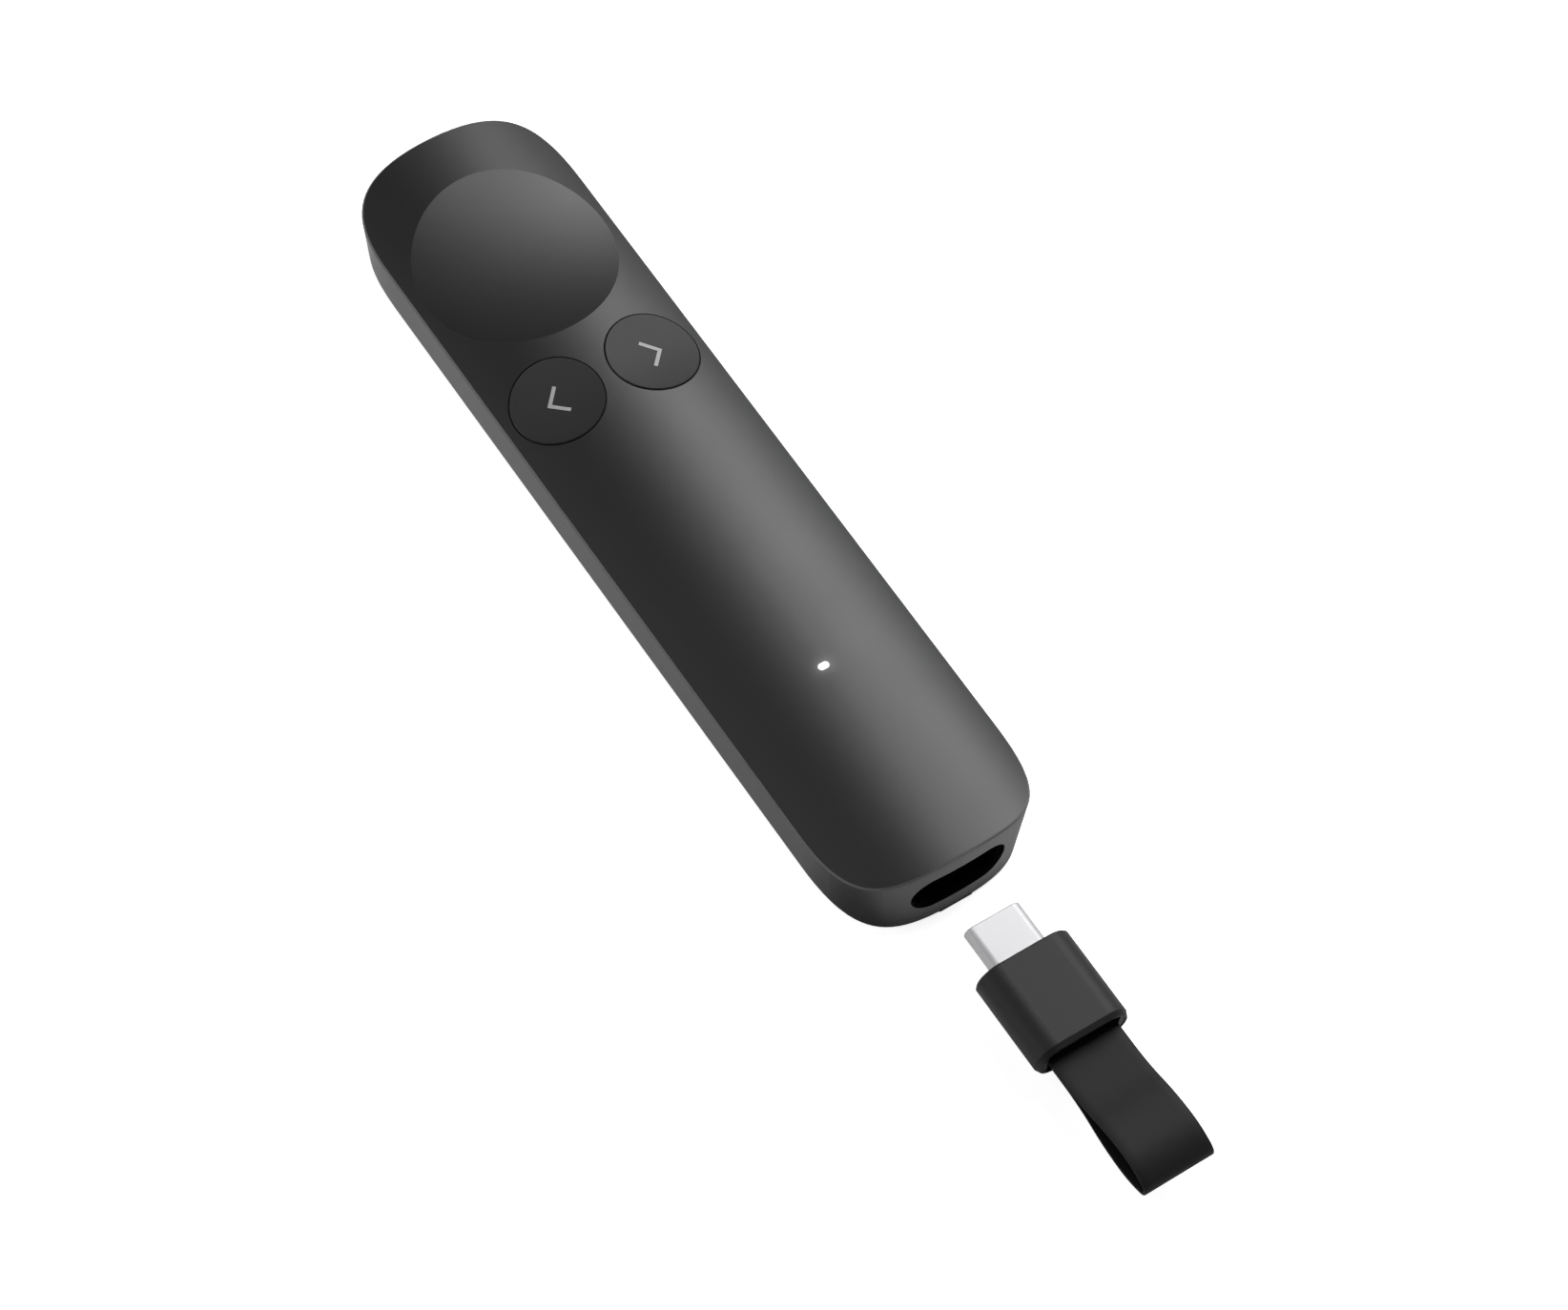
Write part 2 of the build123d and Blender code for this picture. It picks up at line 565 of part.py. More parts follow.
def battery():
    half_x = BATTERY_LENGTH / 2
    half_y = BATTERY_WIDTH / 2
    low = BOARD_TOP_Z + TAPE_THICKNESS
    cell = block(BATTERY_X - half_x, BATTERY_X + half_x, -half_y, half_y, low, low + BATTERY_THICKNESS)
    return fillet(cell.edges().filter_by(Axis.X), BATTERY_ROUND)


def battery_tabs():
    """Two nickel strips from the end of the cell down to the board."""
    tabs = []
    start = BATTERY_X + BATTERY_LENGTH / 2
    bend = start + TAB_REACH
    top = BOARD_TOP_Z + TAPE_THICKNESS + BATTERY_THICKNESS / 2
    foot_top = BOARD_TOP_Z + TAB_THICKNESS
    for side in (1, -1):
        low = side * BATTERY_WIDTH / 4 - TAB_WIDTH / 2
        high = low + TAB_WIDTH
        strip = block(start, bend, low, high, top - TAB_THICKNESS, top)
        strip += block(bend - TAB_THICKNESS, bend, low, high, BOARD_TOP_Z, top)
        strip += block(bend - TAB_THICKNESS, bend + TAB_FOOT, low, high, BOARD_TOP_Z, foot_top)
        tabs.append(strip)
    return Compound(children=tabs)


def battery_tape():
    length = BATTERY_LENGTH - 2 * TAPE_MARGIN
    return on_board(BATTERY_X, 0, length, BATTERY_WIDTH - 2 * TAPE_MARGIN, TAPE_THICKNESS)


def light_pipe():
    """Clear rod from the indicator lamp up to its window."""
    return light_column(0, BOARD_TOP_Z + LIGHT_PIPE_LOW, TOP_Z) & crown_cylinder(LIGHT_SINK)


# ---------------------------------------------------------------- bay liner and socket


def dock_liner():
    """Sleeve that the receiver slides into, closed at the back but for the socket."""
    width = SLOT_WIDTH + 2 * LINER_WALL
    thickness = SLOT_THICKNESS + 2 * LINER_WALL
    sleeve = stadium_bar(width, thickness, BAY_END_X - LINER_WALL, HALF_LENGTH)
    sleeve &= drafted_block(0, TOP_Z, WALL + LINER_END_FIT)
    sleeve -= stadium_bar(SLOT_WIDTH, SLOT_THICKNESS, BAY_END_X, HALF_LENGTH + CLEAR)
    around = 2 * FIT_GAP
    return sleeve - stadium_bar(SOCKET_OUT_WIDTH + around, SOCKET_OUT_THICKNESS + around, 0, HALF_LENGTH)


def socket_bore(x_low, x_high):
    around = 2 * SOCKET_GAP
    return stadium_bar(PLUG_WIDTH + around, PLUG_THICKNESS + around, x_low, x_high)


def usb_socket_shell():
    back_x = SOCKET_BACK_X - SOCKET_BLOCK
    shell = stadium_bar(SOCKET_OUT_WIDTH, SOCKET_OUT_THICKNESS, back_x, BAY_END_X)
    return shell - socket_bore(back_x - CLEAR, BAY_END_X + CLEAR)


def usb_socket_tongue():
    """Moulding at the back of the socket with the tongue that enters the plug."""
    half_y = TONGUE_WIDTH / 2
    low = SLOT_HEIGHT_MID - TONGUE_THICKNESS / 2
    tip_x = SOCKET_BACK_X + TONGUE_LENGTH
    blade = block(SOCKET_BACK_X, tip_x, -half_y, half_y, low, low + TONGUE_THICKNESS)
    blade = chamfer(blade.faces().sort_by(Axis.X)[-1].edges(), TONGUE_CHAMFER)
    return blade + socket_bore(SOCKET_BACK_X - SOCKET_BLOCK, SOCKET_BACK_X)


# ---------------------------------------------------------------- receiver


def receiver_housing():
    body = stadium_bar(RECEIVER_WIDTH, RECEIVER_THICKNESS, RECEIVER_FRONT_X, RECEIVER_BACK_X)
    body = chamfer(body.faces().sort_by(Axis.X)[0].edges(), RECEIVER_FRONT_CHAMFER)
    back_face = body.faces().sort_by(Axis.X)[-1]
    body = chamfer(back_face.edges(), *RECEIVER_BACK_CHAMFER, reference=back_face)
    cavity_x = RECEIVER_FRONT_X + RECEIVER_FRONT_WALL
    body -= stadium_bar(CAVITY_WIDTH, CAVITY_THICKNESS, cavity_x, RECEIVER_BACK_X + CLEAR)
    around = 2 * PLUG_SEAT_FIT
    seat = stadium_bar(PLUG_WIDTH + around, PLUG_THICKNESS + around, RECEIVER_FRONT_X - CLEAR, cavity_x)
    return body - seat


def plug_bore(x_low, x_high):
    return stadium_bar(PLUG_WIDTH - 2 * PLUG_WALL, PLUG_THICKNESS - 2 * PLUG_WALL, x_low, x_high)


def usb_plug_shell():
    shell = stadium_bar(PLUG_WIDTH, PLUG_THICKNESS, PLUG_TIP_X, PLUG_ROOT_X)
    shell = chamfer(shell.faces().sort_by(Axis.X)[0].edges(), PLUG_MOUTH_CHAMFER)
    return shell - plug_bore(PLUG_TIP_X - CLEAR, PLUG_ROOT_X + CLEAR)


def usb_plug_core():
    """Moulding inside the plug's shell, with the slot that takes a socket's tongue."""
    front = PLUG_TIP_X + PLUG_CORE_SINK
    half_y = TONGUE_WIDTH / 2 + TONGUE_GAP
    half_z = TONGUE_THICKNESS / 2 + TONGUE_GAP
    mid = SLOT_HEIGHT_MID
    mouth = block(front - CLEAR, front + MOUTH_DEPTH, -half_y, half_y, mid - half_z, mid + half_z)
    return plug_bore(front, PLUG_ROOT_X) - mouth


def usb_plug_contacts():
    """Two rows of spring contacts on the walls of the plug's slot."""
    strips = []
    wall = TONGUE_THICKNESS / 2 + TONGUE_GAP
    start = PLUG_TIP_X + CONTACT_SINK
    for side in (1, -1):
        low, high = sorted((side * wall, side * (wall - CONTACT_PROUD)))
        for step in range(CONTACT_COUNT):
            y = (step - CONTACT_COUNT / 2) * CONTACT_PITCH + (CONTACT_PITCH - CONTACT_WIDTH) / 2
            bar = block(start, start + CONTACT_LENGTH, y, y + CONTACT_WIDTH, low, high)
            strips.append(Pos(0, 0, SLOT_HEIGHT_MID) * bar)
    return Compound(children=strips)


def receiver_board():
    half_y = RECEIVER_BOARD_WIDTH / 2
    low = SLOT_HEIGHT_MID - RECEIVER_BOARD_THICKNESS / 2
    high = low + RECEIVER_BOARD_THICKNESS
    return block(PLUG_ROOT_X, END_PLUG_FRONT_X, -half_y, half_y, low, high)


def receiver_chip():
    length, width, height = RECEIVER_CHIP_SIZE
    middle = (PLUG_ROOT_X + END_PLUG_FRONT_X) / 2
    low = SLOT_HEIGHT_MID + RECEIVER_BOARD_THICKNESS / 2
    return block(middle - length / 2, middle + length / 2, -width / 2, width / 2, low, low + height)


def strap_pin_bar(radius):
    """Round bar across the receiver on the pin's axis."""
    bar = Cylinder(radius, STRAP_WIDTH + 2 * STRAP_PIN_OVERHANG, rotation=(90, 0, 0))
    return Pos(PIN_X, 0, SLOT_HEIGHT_MID) * bar


def receiver_end_plug():
    """Insert that closes the housing: a plate with two ears that hold the strap's pin."""
    width = CAVITY_WIDTH - 2 * END_PLUG_FIT
    thickness = CAVITY_THICKNESS - 2 * END_PLUG_FIT
    body = stadium_bar(width, thickness, END_PLUG_FRONT_X, END_PLUG_BACK_X)
    half_y = STRAP_WIDTH / 2 + STRAP_SIDE_GAP
    plate_x = END_PLUG_FRONT_X + END_PLUG_PLATE
    body -= block(plate_x, RECEIVER_BACK_X, -half_y, half_y, 0, TOP_Z)
    return body - strap_pin_bar(STRAP_PIN_RADIUS + STRAP_PIN_FIT)


def strap_outline(inset):
    """Teardrop of tangent arcs: slowly from the join to the belly, then round the tip."""
    belly_half = STRAP_BELLY / 2
    tip_x = RECEIVER_BACK_X + STRAP_REACH - STRAP_TIP_RADIUS
    belly_x = RECEIVER_BACK_X + STRAP_REACH - STRAP_BELLY_TO_TIP
    join_x = RECEIVER_BACK_X + STRAP_JOIN
    run = belly_x - join_x
    rise = belly_half - STRAP_THICKNESS
    swell = (run**2 + rise**2) / (4 * rise)
    swell_turn = math.degrees(math.asin(run / 2 / swell))
    drop = belly_half - STRAP_TIP_RADIUS
    fall = ((tip_x - belly_x) ** 2 + belly_half**2 - STRAP_TIP_RADIUS**2) / (2 * drop)
    fall_turn = math.degrees(math.asin((tip_x - belly_x) / (fall - STRAP_TIP_RADIUS)))
    start = -90 + (STRAP_PARTING if inset else 0)
    upper = [
        CenterArc((join_x, STRAP_THICKNESS + swell), swell + inset, start, swell_turn - 90 - start),
        CenterArc((belly_x, belly_half - swell), swell - inset, 90, swell_turn),
        CenterArc((belly_x, belly_half - fall), fall - inset, 90 - fall_turn, fall_turn),
        CenterArc((tip_x, 0), STRAP_TIP_RADIUS - inset, 0, 90 - fall_turn),
    ]
    lower = [mirror(arc, Plane.XZ) for arc in upper]
    return make_face(upper + lower + [Line(upper[0] @ 0, lower[0] @ 0)])


def wrist_strap():
    """Closed loop of flat band: round the pin, out of the housing, and round to a soft belly."""
    join_x = RECEIVER_BACK_X + STRAP_JOIN
    bore = STRAP_PIN_RADIUS + STRAP_PIN_FIT
    side = Pos(PIN_X, 0) * Circle(bore + STRAP_THICKNESS)
    side += Pos((PIN_X + join_x) / 2, 0) * Rectangle(join_x - PIN_X, 2 * STRAP_THICKNESS)
    side += strap_outline(0)
    side -= strap_outline(STRAP_THICKNESS)
    side -= Pos(PIN_X, 0) * Circle(bore)
    return Pos(0, -STRAP_WIDTH / 2, SLOT_HEIGHT_MID) * extrude(Plane.XZ * side, -STRAP_WIDTH)


# ---------------------------------------------------------------- write every piece

pieces = {
    "top_cover": top_cover(),
    "bottom_shell": bottom_shell(),
    "back_button_cap": cap(-1),
    "forward_button_cap": cap(1),
    "button_guide": button_guide(),
    "back_switch_body": switch_body(-1),
    "forward_switch_body": switch_body(1),
    "back_switch_plunger": switch_plunger(-1),
    "forward_switch_plunger": switch_plunger(1),
    "main_board": main_board(),
    "board_screws": board_screws(),
    "board_chips": board_chips(),
    "radio_chip": on_board(SHIELD_X, 0, *RADIO_SIZE),
    "radio_shield": radio_shield(),
    "chip_antenna": on_board(-HALF_LENGTH + BOARD_END_MARGIN + ANTENNA_SIZE[0], 0, *ANTENNA_SIZE),
    "indicator_lamp": on_board(LIGHT_X, 0, LIGHT_WIDTH, LIGHT_LENGTH, LAMP_HEIGHT),
    "light_pipe": light_pipe(),
    "pad_sensor": pad_sensor(),
    "pad_connector": on_board(CONNECTOR_X, 0, CONNECTOR_LENGTH, CONNECTOR_WIDTH, CONNECTOR_HEIGHT),
    "battery": battery(),
    "battery_tape": battery_tape(),
    "battery_tabs": battery_tabs(),
    "haptic_motor": upright(MOTOR_RADIUS, FLOOR, FLOOR + MOTOR_THICKNESS, MOTOR_X),
    "dock_liner": dock_liner(),
    "usb_socket_shell": usb_socket_shell(),
    "usb_socket_tongue": usb_socket_tongue(),
    "receiver_housing": receiver_housing(),
    "usb_plug_shell": usb_plug_shell(),
    "usb_plug_core": usb_plug_core(),
    "usb_plug_contacts": usb_plug_contacts(),
    "receiver_board": receiver_board(),
    "receiver_chip": receiver_chip(),
    "receiver_end_plug": receiver_end_plug(),
    "strap_pin": strap_pin_bar(STRAP_PIN_RADIUS),
    "wrist_strap": wrist_strap(),
}

for node, shape in pieces.items():
    save(shape, node)
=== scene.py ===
"""Looks of a wireless presentation clicker: satin handset, matt buttons, lit indicator, plug-in receiver.

Lengths are in metres, in the frame's axes: +X towards the receiver slot, +Z up, floor at Z 0.
"""
import json
import math

import bmesh
import bpy
from mathutils import Matrix, Vector


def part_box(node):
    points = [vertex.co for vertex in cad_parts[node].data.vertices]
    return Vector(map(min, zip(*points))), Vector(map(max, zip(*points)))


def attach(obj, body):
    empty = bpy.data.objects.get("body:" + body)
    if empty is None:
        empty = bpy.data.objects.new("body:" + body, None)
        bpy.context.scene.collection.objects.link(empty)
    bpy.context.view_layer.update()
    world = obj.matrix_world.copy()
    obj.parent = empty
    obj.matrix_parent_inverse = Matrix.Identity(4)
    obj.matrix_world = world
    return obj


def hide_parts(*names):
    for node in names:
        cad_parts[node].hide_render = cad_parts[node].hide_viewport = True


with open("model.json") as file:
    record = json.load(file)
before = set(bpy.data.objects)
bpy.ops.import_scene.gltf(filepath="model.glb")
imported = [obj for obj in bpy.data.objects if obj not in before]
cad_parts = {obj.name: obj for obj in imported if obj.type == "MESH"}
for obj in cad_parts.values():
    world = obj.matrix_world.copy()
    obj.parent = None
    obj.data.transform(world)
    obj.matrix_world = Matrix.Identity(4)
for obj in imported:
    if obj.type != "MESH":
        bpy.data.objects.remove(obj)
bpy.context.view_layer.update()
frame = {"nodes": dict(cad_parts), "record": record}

MM = 0.001

# ---------------------------------------------------------------- sizes of what is made here

BUTTON_X = -19.25 * MM
BUTTON_Y = 7.22 * MM
CROWN_RADIUS = 37.2 * MM
CAP_PROUD = 0.14 * MM
CAP_FACE_RADIUS = 6.05 * MM  # inside the cap's edge chamfer
CAP_HOLLOW = 0.5 * MM  # deepest point of the finger hollow in each cap
CAP_CUT_STEP = 0.62 * MM  # between the cuts that let a cap's face bend
CAP_CUTS = 9  # to each side of its middle
CAP_FACE_BAND = 0.03 * MM  # points this little below the crown belong to the cap's face
CROWN_AXIS_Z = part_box("top_cover")[1].z - CROWN_RADIUS

PAD_X = -41.1 * MM
PAD_RADIUS = 13.55 * MM
PAD_DEPTH = 1.45 * MM
PAD_AXIS_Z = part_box("top_cover")[1].z + (PAD_RADIUS**2 - PAD_DEPTH**2) / (2 * PAD_DEPTH)

ARROW_TIP = 8.38 * MM  # from the centre line
ARROW_REACH = 1.93 * MM  # tip to the ends of its arms, across the handset
ARROW_HALF_SPREAD = 2.02 * MM
ARROW_STROKE = 0.5 * MM
PRINT_THICKNESS = 0.012 * MM
PRINT_ROOT = 0.05 * MM  # how far the print reaches into the cap
PRINT_STRIPS = 8  # that follow the cap's hollow

WINDOW_X = 31.4 * MM
WINDOW_HALF_STRAIGHT = 0.28 * MM  # from its middle to the centres of its round ends
WINDOW_HALF_WIDTH = 0.5 * MM
GLOW_LENGTH = 0.55 * MM  # over which the glow round the window falls to about a third
GLOW_PEAK = 0.08  # at the window's edge

RIM_SLOPE = (0.4, 0.84)  # range of the normal's Z on the cut edge round the cover
# painted highlight: this lighter colour on the cover's cut rim stands in for the light that edge catches
RIM_HIGHLIGHT_COLOUR = (0.13, 0.13, 0.132)

BACK_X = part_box("receiver_housing")[1].x
SLOT_MID_Z = 6.55 * MM
BAND_WIDTH = 10.2 * MM
BAND_THICKNESS = 0.44 * MM
BAND_PITCH = 0.46 * MM  # middle to middle where its two layers lie together
BAND_REACH = 20.0 * MM  # behind the receiver
BAND_JOIN = 3.1 * MM
BAND_BELLY = 4.35 * MM
BAND_BELLY_TO_TIP = 4.9 * MM
BAND_TIP_RADIUS = 1.35 * MM
PIN_X = BACK_X - 3.8 * MM
PIN_LOOP_RADIUS = 0.87 * MM
NECK_RUN = 2.2 * MM  # over which the two layers close up behind the pin
BAND_EDGE = 0.1 * MM

CAVITY_HALF = (6.2 * MM, 2.5 * MM)  # of the receiver's open back: half its width, half its thickness
CHEEK_FIT = 0.03 * MM
CHEEK_START_Y = 5.25 * MM  # just clear of the band's edge
CHEEK_LENGTH = 0.5 * MM
CHEEK_SINK = 0.08 * MM
CHEEK_EDGE = 0.08 * MM
# painted shade: corners of a near-black block that darkens the finger notch under the slot
NOTCH_SHADE_FILL = ((60.05 * MM, -2.46 * MM, 0.05 * MM), (62.7 * MM, 2.46 * MM, 0.77 * MM))
NOTCH_EDGE = 0.1 * MM

MERGE_WITHIN = 0.001 * MM
SMOOTH_BELOW = math.radians(25)  # angle between faces that still shade as one
SHARP_ABOVE = math.radians(30)  # angle from which an edge is softened
SOFTEN_ABOVE = math.radians(60)  # the same for the band

# ---------------------------------------------------------------- shader groups


def socket(group, name, kind, direction="INPUT", value=None):
    made = group.interface.new_socket(name, in_out=direction, socket_type=kind)
    if value is not None:
        made.default_value = value
    return made


def new_group(name):
    group = bpy.data.node_groups.new(name, "ShaderNodeTree")
    return group, group.nodes.new("NodeGroupInput"), group.nodes.new("NodeGroupOutput")


def math_node(tree, operation, a, b=0.0):
    """Math node whose inputs are links or numbers; gives its output."""
    node = tree.nodes.new("ShaderNodeMath")
    node.operation = operation
    for entry, value in zip(node.inputs, (a, b)):
        if isinstance(value, (int, float)):
            entry.default_value = value
        else:
            tree.links.new(value, entry)
    return node.outputs[0]


def map_range(tree, value, given, made):
    """Smooth step of a value from one range to another."""
    node = tree.nodes.new("ShaderNodeMapRange")
    node.interpolation_type = "SMOOTHSTEP"
    tree.links.new(value, node.inputs["Value"])
    for name, level in zip(("From Min", "From Max", "To Min", "To Max"), (*given, *made)):
        node.inputs[name].default_value = level
    return node.outputs[0]


def place(tree):
    """Object position, as its X, Y and Z outputs."""
    where = tree.nodes.new("ShaderNodeTexCoord")
    parts = tree.nodes.new("ShaderNodeSeparateXYZ")
    tree.links.new(where.outputs["Object"], parts.inputs[0])
    return parts.outputs["X"], parts.outputs["Y"], parts.outputs["Z"]


def mix(tree, kind, factor, first, second=None):
    """Mix node of a kind of value; gives its output, and the input for the second value."""
    node = tree.nodes.new("ShaderNodeMix")
    node.data_type = kind
    tree.links.new(factor, node.inputs["Factor"])
    wanted = [entry for entry in node.inputs if entry.type == kind]
    tree.links.new(first, wanted[-2])
    if second is not None:
        tree.links.new(second, wanted[-1])
    return next(entry for entry in node.outputs if entry.type == kind), wanted[-1]


def make_moulded_grain():
    """Fine spark-eroded grain of a moulding: a height for its bump, and a roughness that varies with it."""
    group, given, made = new_group("moulded_grain")
    socket(group, "Scale", "NodeSocketFloat", value=5200.0)
    socket(group, "Roughness", "NodeSocketFloat", value=0.4)
    socket(group, "Variation", "NodeSocketFloat", value=0.04)
    socket(group, "Height", "NodeSocketFloat", "OUTPUT")
    socket(group, "Roughness", "NodeSocketFloat", "OUTPUT")
    where = group.nodes.new("ShaderNodeTexCoord")
    fine = group.nodes.new("ShaderNodeTexNoise")
    fine.inputs["Detail"].default_value = 2.0
    broad = group.nodes.new("ShaderNodeTexNoise")
    broad.inputs["Detail"].default_value = 3.0
    broad.inputs["Scale"].default_value = 90.0
    link = group.links.new
    link(where.outputs["Object"], fine.inputs["Vector"])
    link(where.outputs["Object"], broad.inputs["Vector"])
    link(given.outputs["Scale"], fine.inputs["Scale"])
    mottled = math_node(group, "ADD", fine.outputs[0], broad.outputs[0])
    swing = math_node(group, "MULTIPLY", math_node(group, "SUBTRACT", mottled, 1.0), given.outputs["Variation"])
    link(fine.outputs[0], made.inputs["Height"])
    link(math_node(group, "ADD", swing, given.outputs["Roughness"]), made.inputs["Roughness"])
    return group


def make_tone():
    """Slight, slow change of a colour over the surface."""
    group, given, made = new_group("tone")
    socket(group, "Color", "NodeSocketColor", value=(0.5, 0.5, 0.5, 1))
    socket(group, "Scale", "NodeSocketFloat", value=60.0)
    socket(group, "Strength", "NodeSocketFloat", value=0.06)
    socket(group, "Color", "NodeSocketColor", "OUTPUT")
    where = group.nodes.new("ShaderNodeTexCoord")
    cloud = group.nodes.new("ShaderNodeTexNoise")
    cloud.inputs["Detail"].default_value = 4.0
    shade = group.nodes.new("ShaderNodeHueSaturation")
    link = group.links.new
    link(where.outputs["Object"], cloud.inputs["Vector"])
    link(given.outputs["Scale"], cloud.inputs["Scale"])
    swing = math_node(group, "SUBTRACT", cloud.outputs[0], 0.5)
    swing = math_node(group, "MULTIPLY", swing, given.outputs["Strength"])
    link(math_node(group, "ADD", math_node(group, "MULTIPLY", swing, 2.0), 1.0), shade.inputs["Value"])
    link(given.outputs["Color"], shade.inputs["Color"])
    link(shade.outputs[0], made.inputs["Color"])
    return group


def make_dished_normal():
    """Exact normal of the dished touch pad, and the mesh's own everywhere outside its edge.

    The pad is swept about an axis across the handset, and its facets would show in the gloss.
    """
    group, _, made = new_group("dished_normal")
    socket(group, "Normal", "NodeSocketVector", "OUTPUT")
    x, y, z = place(group)
    along = math_node(group, "SUBTRACT", PAD_X, x)
    square_y = math_node(group, "POWER", math_node(group, "ABSOLUTE", y), 2.0)
    crown = math_node(group, "SQRT", math_node(group, "SUBTRACT", CROWN_RADIUS**2, square_y))
    rise = math_node(group, "SUBTRACT", PAD_AXIS_Z - CROWN_AXIS_Z, crown)
    lean = math_node(group, "SUBTRACT", math_node(group, "DIVIDE", rise, crown), 1.0)
    join = group.nodes.new("ShaderNodeCombineXYZ")
    group.links.new(along, join.inputs["X"])
    group.links.new(math_node(group, "MULTIPLY", y, lean), join.inputs["Y"])
    group.links.new(math_node(group, "SUBTRACT", PAD_AXIS_Z, z), join.inputs["Z"])
    turn = group.nodes.new("ShaderNodeVectorTransform")
    turn.vector_type = "NORMAL"
    turn.convert_from = "OBJECT"
    turn.convert_to = "WORLD"
    group.links.new(join.outputs[0], turn.inputs[0])
    square = math_node(group, "ADD", math_node(group, "MULTIPLY", along, along), square_y)
    inside = math_node(group, "LESS_THAN", square, PAD_RADIUS**2)
    unit = group.nodes.new("ShaderNodeVectorMath")
    unit.operation = "NORMALIZE"
    group.links.new(turn.outputs[0], unit.inputs[0])
    own = group.nodes.new("ShaderNodeNewGeometry")
    result, _ = mix(group, "VECTOR", inside, own.outputs["Normal"], unit.outputs[0])
    group.links.new(result, made.inputs["Normal"])
    return group


def make_painted_rim_highlight():
    """Mask of the fine chamfer round the cover's top face, by how steeply it lies; a highlight is painted where it is
    set.
    """
    group, _, made = new_group("painted_rim_highlight")
    socket(group, "Mask", "NodeSocketFloat", "OUTPUT")
    where = group.nodes.new("ShaderNodeTexCoord")
    parts = group.nodes.new("ShaderNodeSeparateXYZ")
    group.links.new(where.outputs["Normal"], parts.inputs[0])
    above = math_node(group, "GREATER_THAN", parts.outputs["Z"], RIM_SLOPE[0])
    below = math_node(group, "LESS_THAN", parts.outputs["Z"], RIM_SLOPE[1])
    group.links.new(math_node(group, "MULTIPLY", below, above), made.inputs["Mask"])
    return group


def make_window_glow():
    """Light that falls off round the indicator's window."""
    group, _, made = new_group("window_glow")
    socket(group, "Glow", "NodeSocketColor", "OUTPUT")
    x, y, _ = place(group)
    along = math_node(group, "SUBTRACT", x, WINDOW_X)
    across = math_node(group, "SUBTRACT", math_node(group, "ABSOLUTE", y), WINDOW_HALF_STRAIGHT)
    across = math_node(group, "MAXIMUM", across, 0.0)
    square = math_node(group, "ADD", math_node(group, "POWER", along, 2.0), math_node(group, "POWER", across, 2.0))
    off = math_node(group, "SUBTRACT", math_node(group, "SQRT", square), WINDOW_HALF_WIDTH)
    fall = math_node(group, "EXPONENT", math_node(group, "MULTIPLY", off, -1 / GLOW_LENGTH))
    glow = math_node(group, "MULTIPLY", fall, GLOW_PEAK)
    join = group.nodes.new("ShaderNodeCombineColor")
    for channel in join.inputs:
        group.links.new(glow, channel)
    group.links.new(join.outputs[0], made.inputs["Glow"])
    return group


MOULDED_GRAIN = make_moulded_grain()
TONE = make_tone()
PAINTED_RIM_HIGHLIGHT = make_painted_rim_highlight()
DISHED_NORMAL = make_dished_normal()
WINDOW_GLOW = make_window_glow()

# ---------------------------------------------------------------- materials


def place_group(tree, group, **values):
    node = tree.nodes.new("ShaderNodeGroup")
    node.node_tree = group
    for name, value in values.items():
        node.inputs[name].default_value = value
    return node


def finish(name, colour, roughness, grain=5200.0, depth=0.0, variation=0.04, tone=0.06, **shader):
    """Material with the shared grain and tone; shader holds values for the Principled BSDF's own sockets."""
    material = bpy.data.materials.new(name)
    material.use_nodes = True
    tree = material.node_tree
    bsdf = tree.nodes["Principled BSDF"]
    for socket_name, value in shader.items():
        bsdf.inputs[socket_name.replace("_", " ")].default_value = value
    texture = place_group(tree, MOULDED_GRAIN, Scale=grain, Roughness=roughness, Variation=variation)
    shade = place_group(tree, TONE, Color=(*colour, 1), Strength=tone)
    tree.links.new(texture.outputs["Roughness"], bsdf.inputs["Roughness"])
    tree.links.new(shade.outputs["Color"], bsdf.inputs["Base Color"])
    if depth:
        bump = tree.nodes.new("ShaderNodeBump")
        bump.inputs["Distance"].default_value = depth
        bump.inputs["Strength"].default_value = 1.0
        tree.links.new(texture.outputs["Height"], bump.inputs["Height"])
        tree.links.new(bump.outputs["Normal"], bsdf.inputs["Normal"])
    return material


def paint_rim_highlight(material, colour):
    """Painted highlight: a brighter colour on the cut edge round the cover, standing in for the light that edge
    catches.
    """
    tree = material.node_tree
    rim = place_group(tree, PAINTED_RIM_HIGHLIGHT)
    bsdf = tree.nodes["Principled BSDF"]
    plain = bsdf.inputs["Base Color"].links[0].from_socket
    result, bright = mix(tree, "RGBA", rim.outputs["Mask"], plain)
    bright.default_value = (*colour, 1)
    tree.links.new(result, bsdf.inputs["Base Color"])


def dish_pad(material):
    """The pad's exact normal, under the grain that the material already has."""
    tree = material.node_tree
    normal = place_group(tree, DISHED_NORMAL)
    bump = next(node for node in tree.nodes if node.type == "BUMP")
    tree.links.new(normal.outputs["Normal"], bump.inputs["Normal"])


def light_up(material):
    """The indicator's light that spreads through the cover round its window."""
    tree = material.node_tree
    glow = place_group(tree, WINDOW_GLOW)
    bsdf = tree.nodes["Principled BSDF"]
    tree.links.new(glow.outputs["Glow"], bsdf.inputs["Emission Color"])
    bsdf.inputs["Emission Strength"].default_value = 1.0


